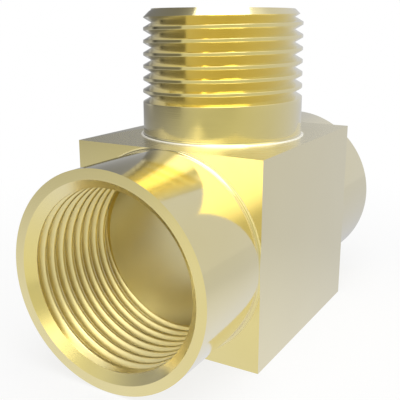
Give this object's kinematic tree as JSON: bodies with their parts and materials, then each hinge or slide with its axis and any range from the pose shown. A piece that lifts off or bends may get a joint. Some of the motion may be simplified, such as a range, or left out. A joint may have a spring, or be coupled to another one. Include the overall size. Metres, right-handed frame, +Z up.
{
  "type": "pipe tee fitting",
  "caption": "Branch tee for air lines: a square brass block with a tapped round port at each end of its run and a male-threaded branch on top, all open to one another.",
  "frame": {"origin": "middle of the square block's flat underside, straight below the branch", "axes": "+X along the run from port to port, +Z up the axis of the male branch, +Y to the block's far side"},
  "size_m": [0.0502, 0.0244, 0.0397],
  "materials": {
    "brass": "machined and polished, unplated"
  },
  "bodies": {
    "root": {"tee_body": "brass"}
  },
  "joints": []
}
